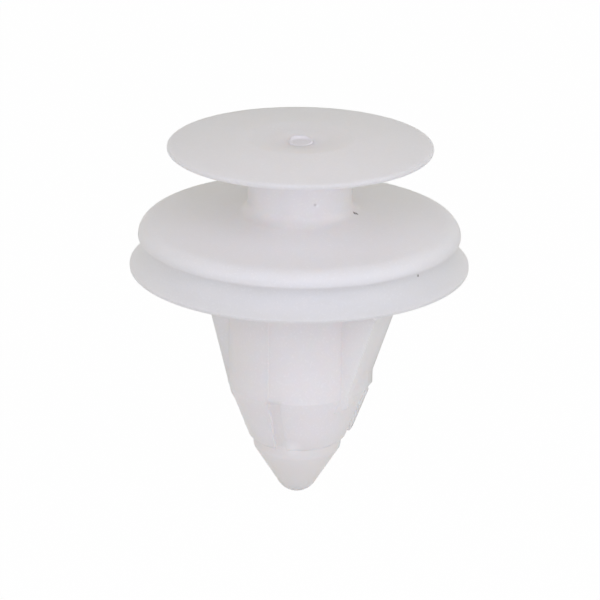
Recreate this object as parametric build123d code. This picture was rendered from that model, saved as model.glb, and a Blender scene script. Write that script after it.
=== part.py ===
from build123d import *
import math
import os

# Trim panel clip, one moulding in undyed nylon: a round head and neck that the
# trim panel slides onto, a flange with a thin sealing skirt, and a pointed
# shank with two leaning legs that snap into a hole in the body panel.
# Sizes are millimetres and degrees. z = 0 is the lower rim of the skirt, which
# lies on the body panel. The head is up, the shank points down, and the two
# legs lie on the X axis.

# Head
head_d = 16.0
head_rim_t = 0.36
head_root_t = 1.5
crown_rise = 0.42
dip_d = 6.5
dip_depth = 0.34
dip_edge_r = 0.6
gate_d = 1.2
gate_depth = 0.12

# Neck
neck_d = 6.3
neck_h = 3.08
neck_foot_r = 0.75

# Flange
flange_d = 19.52
flange_fall = 5.8
flange_shoulder_r = 0.9

# Sealing skirt
skirt_d = 20.56
skirt_h = 1.95
skirt_t = 0.38
skirt_rim_t = 0.15
groove_depth = 0.45

# Shank, whose core is a round barrel, a cone and a pointed tip
barrel_d = 8.64
barrel_reach = 7.56
cone_h = 3.44
cone_fall = 20.7
tip_step = 0.31
tip_step_h = 0.25
tip_band_h = 0.55
tip_shoulder_r = 0.5
tip_angle = 31.7
tip_round_r = 1.35
cone_groove_w = 0.75
witness_w = 0.12
witness_h = 0.03

# Legs, which lean out from the barrel. An inset is how far inside the radius of
# the barrel or the cone a leg's flat face lies.
leg_w = 4.7
leg_top_reach = 1.75
leg_hook_h = 0.4
leg_hook_angle = 45.0
leg_runout_h = 0.5

# The +X leg has a knee and an upright waist. Behind its middle a narrow foot
# runs on down the cone to a ledge.
kneed_lean = 18.3
waist_inset = 0.26
waist_h = 0.81
waist_past_barrel = 0.46
foot_w = 0.6
foot_back = 1.2
foot_out = 0.08
foot_rise = 0.25

# The -X leg is straight and sinks into the cone.
straight_lean = 15.0
straight_inset = 0.64
straight_past_barrel = 0.52

# Values that follow from the sizes above
rim_r = head_rim_t / 2
neck_r = neck_d / 2
flange_r = flange_d / 2
wall_r = flange_r - groove_depth
skirt_r = skirt_d / 2
barrel_r = barrel_d / 2

fall = math.radians(flange_fall)
shoulder_c = flange_r - flange_shoulder_r
shoulder_x = shoulder_c + flange_shoulder_r * math.sin(fall)
shoulder_z = skirt_h + flange_shoulder_r * math.cos(fall)
neck_foot_z = shoulder_z + (shoulder_x - neck_r) * math.tan(fall)
head_root_z = neck_foot_z + neck_h
crown_z = head_root_z + head_root_t
rim_x = head_d / 2 - rim_r
rim_z = crown_z - crown_rise - rim_r

barrel_end_z = -barrel_reach
cone_end_z = barrel_end_z - cone_h
tip_top_z = cone_end_z - tip_step_h
tip_shoulder_z = tip_top_z - tip_band_h
leg_top_z = -leg_top_reach
leg_hook_z = leg_top_z - leg_hook_h


def cone_x(z):
    """Radius of the shank's cone at a height."""
    return barrel_r - (barrel_end_z - z) * math.tan(math.radians(cone_fall))


def sink_x(z):
    """X at which the edges of a leg sink into the cone at a height."""
    return math.sqrt(cone_x(z) ** 2 - (leg_w / 2) ** 2)


tip_r = cone_x(cone_end_z) - tip_step


def round_corner(section, x, z, radius):
    """Round the corner of an upright section that is nearest to x, z."""
    corner = section.vertices().sort_by_distance((x, z))[0]
    fillet(corner, radius)


def turned_body():
    """Head, neck, flange, skirt and the core of the shank, turned about Z."""
    # The dip in the head is a shallow arc that passes through its lowest point.
    dip_z = crown_z - dip_depth
    dip_arc_r = (dip_d**2 / 4 + dip_depth**2) / (2 * dip_depth)
    dip_mid_x = dip_d / 4
    dip_mid_z = dip_z + dip_arc_r - math.sqrt(dip_arc_r**2 - dip_mid_x**2)

    # The skirt leaves the groove under the flange upright and flares to its rim.
    reach = skirt_r - wall_r
    drop = skirt_h - skirt_rim_t
    outer_r = (reach**2 + drop**2) / (2 * reach)
    outer_end = math.asin(drop / outer_r)
    inner_r = outer_r + skirt_t
    inner_end = math.asin(skirt_h / inner_r)

    def on_flare(radius, angle):
        return (wall_r + outer_r - radius * math.cos(angle), skirt_h - radius * math.sin(angle))

    # The pointed tip is a cone that ends in a ball.
    point = math.radians(tip_angle)
    ball_z = tip_shoulder_z - tip_r / math.tan(point) + tip_round_r / math.sin(point)
    ball_side = (90 + tip_angle) / 2

    def on_ball(angle):
        turn = math.radians(angle)
        return (tip_round_r * math.cos(turn), ball_z - tip_round_r * math.sin(turn))

    with BuildSketch(Plane.XZ) as section:
        with BuildLine():
            ThreePointArc((0, dip_z), (dip_mid_x, dip_mid_z), (dip_d / 2, crown_z))
            Line((dip_d / 2, crown_z), (rim_x, rim_z + rim_r))
            CenterArc((rim_x, rim_z), rim_r, -90, 180)
            Line((rim_x, rim_z - rim_r), (neck_r, head_root_z))
            Line((neck_r, head_root_z), (neck_r, neck_foot_z))
            Line((neck_r, neck_foot_z), (shoulder_x, shoulder_z))
            CenterArc((shoulder_c, skirt_h), flange_shoulder_r, 0, 90 - flange_fall)
            Line((flange_r, skirt_h), (wall_r, skirt_h))
            ThreePointArc((wall_r, skirt_h), on_flare(outer_r, outer_end / 2), (skirt_r, skirt_rim_t))
            Line((skirt_r, skirt_rim_t), (skirt_r, 0))
            Line((skirt_r, 0), on_flare(inner_r, inner_end))
            ThreePointArc(
                on_flare(inner_r, inner_end), on_flare(inner_r, inner_end / 2), on_flare(inner_r, 0)
            )
            Line(on_flare(inner_r, 0), (barrel_r, skirt_h))
            Line((barrel_r, skirt_h), (barrel_r, barrel_end_z))
            Line((barrel_r, barrel_end_z), (cone_x(cone_end_z), cone_end_z))
            Line((cone_x(cone_end_z), cone_end_z), (tip_r, tip_top_z))
            Line((tip_r, tip_top_z), (tip_r, tip_shoulder_z))
            Line((tip_r, tip_shoulder_z), on_ball(tip_angle))
            ThreePointArc(on_ball(tip_angle), on_ball(ball_side), on_ball(90))
            Line(on_ball(90), (0, dip_z))
        make_face()
        round_corner(section, dip_d / 2, crown_z, dip_edge_r)
        round_corner(section, neck_r, neck_foot_z, neck_foot_r)
        round_corner(section, tip_r, tip_shoulder_z, tip_shoulder_r)
    return revolve(section.sketch, Axis.Z)


def leaning_face(lean, x, z):
    """Outer face of a leg that leans out above the point x, z: its X at a height."""
    slope = math.tan(math.radians(lean))
    return lambda height: x + (height - z) * slope


def leaning_leg(face, *bends):
    """A leg on the +X side, whose outer face turns at the points in bends."""
    hook_x = face(leg_hook_z)
    top_x = hook_x - leg_hook_h / math.tan(math.radians(leg_hook_angle))
    with BuildSketch(Plane.XZ) as outline:
        with BuildLine():
            Polyline(
                (0, leg_top_z),
                (top_x, leg_top_z),
                (hook_x, leg_hook_z),
                *bends,
                (0, bends[-1][1]),
                close=True,
            )
        make_face()
    return extrude(outline.sketch, leg_w / 2, both=True)


def leg_foot(waist_x):
    """Narrow foot of the kneed leg, which follows the cone down to the ledge."""
    turn_z = barrel_end_z - leg_runout_h
    ledge_z = cone_end_z + foot_rise
    with BuildSketch(Plane.XZ.offset(-foot_back)) as outline:
        with BuildLine():
            Polyline(
                (0, barrel_end_z),
                (waist_x, barrel_end_z),
                (cone_x(turn_z) + foot_out, turn_z),
                (cone_x(ledge_z) + foot_out, ledge_z),
                (0, ledge_z),
                close=True,
            )
        make_face()
    return extrude(outline.sketch, foot_w)


def cone_groove():
    """Shallow groove down the front of the cone that runs out at the tip's step."""
    with BuildSketch(Plane.YZ) as outline:
        with BuildLine():
            Polyline(
                (tip_step - barrel_r, barrel_end_z),
                (-tip_r, cone_end_z),
                (-tip_r, tip_top_z),
                (-barrel_r, tip_top_z),
                (-barrel_r, barrel_end_z),
                close=True,
            )
        make_face()
    return extrude(outline.sketch, cone_groove_w / 2, both=True)


def witness_line():
    """Raised line that the mould leaves on the barrel, above the groove's edge."""
    x = -cone_groove_w / 2
    height = skirt_h - barrel_end_z
    place = Pos(x, -math.sqrt(barrel_r**2 - x**2), barrel_end_z + height / 2)
    return place * Box(witness_w, 2 * witness_h, height)


def gate_mark():
    """Small round hollow where the runner was cut off."""
    return Pos(0, 0, crown_z - dip_depth) * Cylinder(gate_d / 2, 2 * gate_depth)


half_turn = Rot(0, 0, 180)

waist_x = barrel_r - waist_inset
waist_end_z = barrel_end_z - waist_past_barrel
knee_z = waist_end_z + waist_h
kneed_end_z = waist_end_z - leg_runout_h
kneed_leg = leaning_leg(
    leaning_face(kneed_lean, waist_x, knee_z),
    (waist_x, knee_z),
    (waist_x, waist_end_z),
    (sink_x(kneed_end_z), kneed_end_z),
)

straight_z = barrel_end_z - straight_past_barrel
straight_x = cone_x(straight_z) - straight_inset
straight_end_z = straight_z - leg_runout_h
straight_leg = leaning_leg(
    leaning_face(straight_lean, straight_x, straight_z),
    (straight_x, straight_z),
    (sink_x(straight_end_z), straight_end_z),
)

clip = turned_body() + witness_line() + half_turn * witness_line()
clip += kneed_leg + leg_foot(waist_x)
clip += half_turn * straight_leg
clip -= cone_groove()
clip -= half_turn * cone_groove()
clip -= gate_mark()

os.makedirs("parts", exist_ok=True)
export_step(clip, "parts/trim_clip.step")
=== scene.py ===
import math

import bmesh
import bpy
from mathutils import Matrix, Vector


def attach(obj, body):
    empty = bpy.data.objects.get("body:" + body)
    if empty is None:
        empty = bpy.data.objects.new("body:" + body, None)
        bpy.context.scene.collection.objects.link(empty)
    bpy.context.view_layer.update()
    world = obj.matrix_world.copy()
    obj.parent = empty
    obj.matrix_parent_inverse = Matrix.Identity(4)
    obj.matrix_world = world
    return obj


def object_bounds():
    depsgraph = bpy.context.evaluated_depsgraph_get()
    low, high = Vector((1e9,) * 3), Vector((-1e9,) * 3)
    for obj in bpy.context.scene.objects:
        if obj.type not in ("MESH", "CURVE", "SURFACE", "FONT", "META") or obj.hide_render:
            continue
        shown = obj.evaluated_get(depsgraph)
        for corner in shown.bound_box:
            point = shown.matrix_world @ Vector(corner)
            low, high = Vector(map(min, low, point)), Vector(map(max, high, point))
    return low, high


# The trim panel clip is one moulding, so the CAD node stays as it is and gets
# its finish here. Sizes are written in millimetres and turned to metres.
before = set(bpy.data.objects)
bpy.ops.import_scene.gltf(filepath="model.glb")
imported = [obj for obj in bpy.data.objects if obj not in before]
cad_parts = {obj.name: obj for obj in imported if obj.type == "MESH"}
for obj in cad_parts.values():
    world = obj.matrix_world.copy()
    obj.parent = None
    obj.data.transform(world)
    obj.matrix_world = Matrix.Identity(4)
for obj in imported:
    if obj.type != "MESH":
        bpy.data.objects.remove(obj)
cad_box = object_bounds()
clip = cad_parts["trim_clip"]

MM = 0.001


def linear(hex_colour):
    """An sRGB hex colour as the linear RGBA that Blender's sockets take."""
    channels = [int(hex_colour[i : i + 2], 16) / 255 for i in (1, 3, 5)]
    return [c / 12.92 if c <= 0.04045 else ((c + 0.055) / 1.055) ** 2.4 for c in channels] + [1]


def add(tree, kind, links=None, **settings):
    """Add a node. Settings are its properties or its sockets, with _ for a space."""
    node = tree.nodes.new(kind)
    for name, value in settings.items():
        if hasattr(node, name):
            setattr(node, name, value)
        else:
            node.inputs[name.replace("_", " ")].default_value = value
    for name, source in (links or {}).items():
        tree.links.new(source, node.inputs[name])
    return node


def new_material(name):
    material = bpy.data.materials.new(name)
    material.use_nodes = True
    material.node_tree.nodes.clear()
    return material, material.node_tree


nylon_ior = 1.53


# Finish of the clip
def moulded_natural_nylon():
    """Undyed nylon, injection moulded. Light sinks in and comes out soft, so it
    looks waxy and white, with a dull satin sheen that varies with the eroded
    mould's grain. Glints on the grain are painted as paler specks."""
    cloud_size = 2.2
    wave_size = 1.6
    wave_height = 0.02
    # The grain of an eroded mould is a few hundredths of a millimetre wide. That
    # is too fine to show, so it is drawn about three times as coarse.
    grain_size = 0.14
    grain_height = 0.006
    edge_radius = 0.02
    # How far red light travels inside, and the shares of it for red, green and blue
    scatter_depth = 4.5
    scatter_shares = (1.0, 0.85, 0.75)
    # Each spot: its centre, where its edge starts and ends, and its colour. Some are the resin's
    # own colour, some painted shade or painted highlight.
    marks_and_painted_light = (
        # Painted shade: the tip is drawn a shade darker and warmer
        ((0.0, 0.0, -13.5), 1.5, 5.0, "#e9e6e2"),
        # White where the plastic was strained as the runner was twisted off
        ((-0.1, 0.35, 7.72), 0.35, 1.7, "#fbf9fb"),
        # A small bubble under the skin of the neck, drawn only in colour: painted shade on its
        # dark side and a painted highlight on its bright side
        ((1.88, -2.53, 4.75), 0.02, 0.12, "#d3d0cf"),
        ((2.0, -2.43, 4.67), 0.02, 0.11, "#f8f8f8"),
        # A painted highlight: a pale patch near the tip
        ((0.7, -2.95, -10.95), 0.15, 0.75, "#f7f6f6"),
        # Specks of scorched resin, one or two tenths of a millimetre across
        ((3.38, 0.3, 3.55), 0.05, 0.14, "#565351"),
        ((3.47, 0.47, 3.48), 0.05, 0.14, "#5c5957"),
        ((8.67, -3.5, 1.55), 0.04, 0.1, "#6f6d6c"),
        ((3.35, 0.3, -10.1), 0.03, 0.08, "#8a8886"),
    )

    material, tree = new_material("moulded natural nylon")
    place = add(tree, "ShaderNodeTexCoord").outputs["Object"]

    # The resin isn't quite even: faint clouds, a shade apart.
    clouds = add(
        tree,
        "ShaderNodeTexNoise",
        {"Vector": place},
        Scale=1 / (cloud_size * MM),
        Detail=3.0,
    )
    resin = add(tree, "ShaderNodeMix", {"Factor": clouds.outputs["Fac"]}, data_type="RGBA")
    resin.inputs["A"].default_value = linear("#eeecec")
    resin.inputs["B"].default_value = linear("#f1efef")
    colour = resin.outputs["Result"]

    # Painted glints: where the grain is high, the colour is painted paler, as if it catches the
    # light.
    grain = add(
        tree,
        "ShaderNodeTexNoise",
        {"Vector": place},
        Scale=1 / (grain_size * MM),
        Detail=2.0,
    )
    glint_peaks = add(
        tree,
        "ShaderNodeMapRange",
        {"Value": grain.outputs["Fac"]},
        From_Min=0.55,
        From_Max=0.75,
    )
    painted_glints = add(
        tree,
        "ShaderNodeMix",
        {"Factor": glint_peaks.outputs["Result"], "A": colour},
        data_type="RGBA",
    )
    painted_glints.inputs["B"].default_value = linear("#f4f2f2")
    colour = painted_glints.outputs["Result"]

    # Each spot is laid over the colour: the resin's own, or painted shade and painted highlights.
    for centre, edge_start, edge_end, spot_colour in marks_and_painted_light:
        away = add(tree, "ShaderNodeVectorMath", {0: place}, operation="DISTANCE")
        away.inputs[1].default_value = Vector(centre) * MM
        fade = add(
            tree,
            "ShaderNodeMapRange",
            {"Value": away.outputs["Value"]},
            From_Min=edge_start * MM,
            From_Max=edge_end * MM,
        )
        spot = add(
            tree,
            "ShaderNodeMix",
            {"Factor": fade.outputs["Result"], "B": colour},
            data_type="RGBA",
        )
        spot.inputs["A"].default_value = linear(spot_colour)
        colour = spot.outputs["Result"]

    # The sheen varies with the grain, over low waves and softened edges.
    sheen = add(
        tree,
        "ShaderNodeMapRange",
        {"Value": grain.outputs["Fac"]},
        To_Min=0.38,
        To_Max=0.54,
    )
    waves = add(
        tree,
        "ShaderNodeTexNoise",
        {"Vector": place},
        Scale=1 / (wave_size * MM),
        Detail=1.0,
    )
    edges = add(tree, "ShaderNodeBevel", Radius=edge_radius * MM)
    waved = add(
        tree,
        "ShaderNodeBump",
        {"Height": waves.outputs["Fac"], "Normal": edges.outputs["Normal"]},
        Strength=1.0,
        Distance=wave_height * MM,
    )
    grained = add(
        tree,
        "ShaderNodeBump",
        {"Height": grain.outputs["Fac"], "Normal": waved.outputs["Normal"]},
        Strength=1.0,
        Distance=grain_height * MM,
    )
    plastic = add(
        tree,
        "ShaderNodeBsdfPrincipled",
        {
            "Base Color": colour,
            "Roughness": sheen.outputs["Result"],
            "Normal": grained.outputs["Normal"],
        },
        IOR=nylon_ior,
        Subsurface_Weight=1.0,
        Subsurface_Radius=scatter_shares,
        Subsurface_Scale=scatter_depth * MM,
    )
    add(tree, "ShaderNodeOutputMaterial", {"Surface": plastic.outputs[0]})
    return material


def torn_natural_nylon():
    """The same nylon where it was twisted off and torn. The strain leaves it
    whiter, with a rough, dull surface, and so thin that light comes through."""
    # The tears are a few hundredths of a millimetre wide, and drawn coarser so
    # that they show.
    tear_size = 0.12
    tear_height = 0.02
    glow_share = 0.12

    material, tree = new_material("torn natural nylon")
    place = add(tree, "ShaderNodeTexCoord").outputs["Object"]
    tears = add(
        tree,
        "ShaderNodeTexNoise",
        {"Vector": place},
        Scale=1 / (tear_size * MM),
        Detail=3.0,
    )
    colour = add(tree, "ShaderNodeMix", {"Factor": tears.outputs["Fac"]}, data_type="RGBA")
    colour.inputs["A"].default_value = linear("#f5f3f6")
    colour.inputs["B"].default_value = linear("#fdfcfe")
    torn = add(
        tree,
        "ShaderNodeBump",
        {"Height": tears.outputs["Fac"]},
        Strength=1.0,
        Distance=tear_height * MM,
    )
    plastic = add(
        tree,
        "ShaderNodeBsdfPrincipled",
        {"Base Color": colour.outputs["Result"], "Normal": torn.outputs["Normal"]},
        Roughness=0.45,
        IOR=nylon_ior,
    )
    glow = add(tree, "ShaderNodeBsdfTranslucent", {"Color": colour.outputs["Result"]})
    thin = add(tree, "ShaderNodeMixShader", {1: plastic.outputs[0], 2: glow.outputs[0]})
    thin.inputs[0].default_value = glow_share
    add(tree, "ShaderNodeOutputMaterial", {"Surface": thin.outputs[0]})
    return material


clip.data.materials.clear()
clip.data.materials.append(moulded_natural_nylon())


# Gate stub
def gate_stub():
    """Thin torn lip, left where the runner was twisted off. It stands up at the
    back and the sides, and its floor fills the small hollow in the head."""
    # Depth of the dip in the solid's head, which the stub stands in
    dip_depth = 0.34
    dip_bottom = cad_box[1][2] / MM - dip_depth
    # Each ring: its radius, its height in front, and how much of the lip's height it adds.
    rings = (
        (0.58, -0.06, 0.0),
        (0.75, 0.0, 0.0),
        (0.76, 0.02, 0.0),
        (0.73, 0.03, 0.4),
        (0.70, 0.04, 0.9),
        (0.66, 0.045, 1.0),
        (0.62, 0.05, 0.75),
        (0.58, 0.055, 0.2),
        (0.48, 0.07, 0.0),
        (0.32, 0.09, 0.0),
        (0.12, 0.1, 0.0),
    )
    lip_height = 0.23
    lip_middle = math.radians(110)
    # Below 1, this keeps the lip tall further round before it falls to the front.
    lip_fall = 0.7
    # Each ripple of the torn edge: its share of the height, its count and its start.
    ripples = ((0.08, 5, 0.4), (0.06, 9, 1.0), (0.05, 14, 0.0))
    bulge = 0.03
    bulge_count = 3
    bulge_start = 1.2
    sides = 60
    mesh = bmesh.new()
    loops = []
    for radius, height, lip in rings:
        loop = []
        for i in range(sides):
            turn = 2 * math.pi * i / sides
            raised = (0.5 + 0.5 * math.cos(turn - lip_middle)) ** lip_fall
            ragged = sum(share * math.sin(count * turn + start) for share, count, start in ripples)
            r = radius + bulge * lip * math.sin(bulge_count * turn + bulge_start)
            z = dip_bottom + height + lip * lip_height * raised * (1 + ragged)
            loop.append(mesh.verts.new(Vector((r * math.cos(turn), r * math.sin(turn), z)) * MM))
        loops.append(loop)
    for low, high in zip(loops, loops[1:]):
        for i in range(sides):
            j = (i + 1) % sides
            mesh.faces.new((low[i], low[j], high[j], high[i]))
    mesh.faces.new(list(reversed(loops[0])))
    mesh.faces.new(loops[-1])
    for face in mesh.faces:
        face.smooth = True
    data = bpy.data.meshes.new("gate_stub")
    mesh.to_mesh(data)
    mesh.free()
    data.materials.append(torn_natural_nylon())
    stub = bpy.data.objects.new("gate_stub", data)
    bpy.context.collection.objects.link(stub)
    return stub


stub = gate_stub()
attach(stub, "root")


# Floor and room
def seen_directly(tree):
    """1 for rays that show the background: from the camera, in gloss and through plastic."""
    path = add(tree, "ShaderNodeLightPath")
    shown = path.outputs["Is Camera Ray"]
    for ray in ("Is Glossy Ray", "Is Transmission Ray"):
        either = add(
            tree,
            "ShaderNodeMath",
            {0: shown, 1: path.outputs[ray]},
            operation="MAXIMUM",
        )
        shown = either.outputs[0]
    return shown


def white_paper():
    """Matt white paper, almost as white as the background, with the clip's soft shadow on it."""
    # Share of plain white in what the camera sees of it. The rest is lit paper.
    plain_share = 0.988

    material, tree = new_material("matt white paper")
    shown = add(tree, "ShaderNodeMath", {0: seen_directly(tree)}, operation="MULTIPLY")
    shown.inputs[1].default_value = plain_share
    paper = add(tree, "ShaderNodeBsdfDiffuse", Color=linear("#f6f6f6"))
    white = add(tree, "ShaderNodeEmission", Strength=1.0)
    mix = add(
        tree,
        "ShaderNodeMixShader",
        {0: shown.outputs[0], 1: paper.outputs[0], 2: white.outputs[0]},
    )
    add(tree, "ShaderNodeOutputMaterial", {"Surface": mix.outputs[0]})
    return material


floor_size = 2000
tip_z = cad_box[0][2]
bpy.ops.mesh.primitive_plane_add(size=floor_size * MM, location=(0, 0, tip_z))
floor = bpy.context.object
floor.name = "floor"
floor.data.materials.append(white_paper())

# The room gives a warm, even light, and rays that show the background see it white.
room_strength = 0.387

room = bpy.data.worlds.new("soft white room")
bpy.context.scene.world = room
room.use_nodes = True
tree = room.node_tree
tree.nodes.clear()
soft = add(tree, "ShaderNodeBackground", Color=linear("#fffcf1"), Strength=room_strength)
white = add(tree, "ShaderNodeBackground", Color=linear("#ffffff"), Strength=1.0)
mix = add(
    tree,
    "ShaderNodeMixShader",
    {0: seen_directly(tree), 1: soft.outputs[0], 2: white.outputs[0]},
)
add(tree, "ShaderNodeOutputWorld", {"Surface": mix.outputs[0]})


# Soft boxes
def toward(azimuth, elevation):
    """Unit vector from the clip towards an azimuth from -Y round to +X, and an elevation."""
    a = math.radians(azimuth)
    e = math.radians(elevation)
    return Vector((math.sin(a) * math.cos(e), -math.cos(a) * math.cos(e), math.sin(e)))


def soft_light(name, colour, azimuth, elevation, watts):
    """A square soft box that faces the clip."""
    data = bpy.data.lights.new(name, "AREA")
    data.color = linear(colour)[:3]
    data.size = light_size * MM
    data.energy = watts
    light = bpy.data.objects.new(name, data)
    bpy.context.collection.objects.link(light)
    place = toward(azimuth, elevation) * light_distance * MM
    facing = (-place).to_track_quat("-Z", "Y").to_matrix().to_4x4()
    light.matrix_world = Matrix.Translation(place) @ facing


light_size = 200
light_distance = 330
soft_light("left soft box", "#fffffc", -40, 20, 0.159)
soft_light("right soft box", "#fbfcff", 80, 22, 0.265)
soft_light("cool window", "#d8deff", 20, 12, 0.243)
soft_light("raised soft box", "#f1e4ff", 20, 50, 0.177)

# Camera, at the photograph's viewing angle
view_azimuth = 20.0
view_elevation = 19.6
view_distance = 165
view_roll = 0.65
image_px = 600
focal_px = 2715.9
origin_px = (299.15, 263.4)

camera_data = bpy.data.cameras.new("camera")
camera = bpy.data.objects.new("camera", camera_data)
bpy.context.collection.objects.link(camera)
stand = toward(view_azimuth, view_elevation) * view_distance * MM
roll = Matrix.Rotation(math.radians(view_roll), 3, "Z")
facing = (-stand).to_track_quat("-Z", "Y").to_matrix() @ roll
camera.matrix_world = Matrix.Translation(stand) @ facing.to_4x4()
camera_data.lens = focal_px / image_px * camera_data.sensor_width
camera_data.shift_x = (image_px / 2 - origin_px[0]) / image_px
camera_data.shift_y = (origin_px[1] - image_px / 2) / image_px
bpy.context.scene.camera = camera

bpy.context.scene.view_settings.view_transform = "Standard"
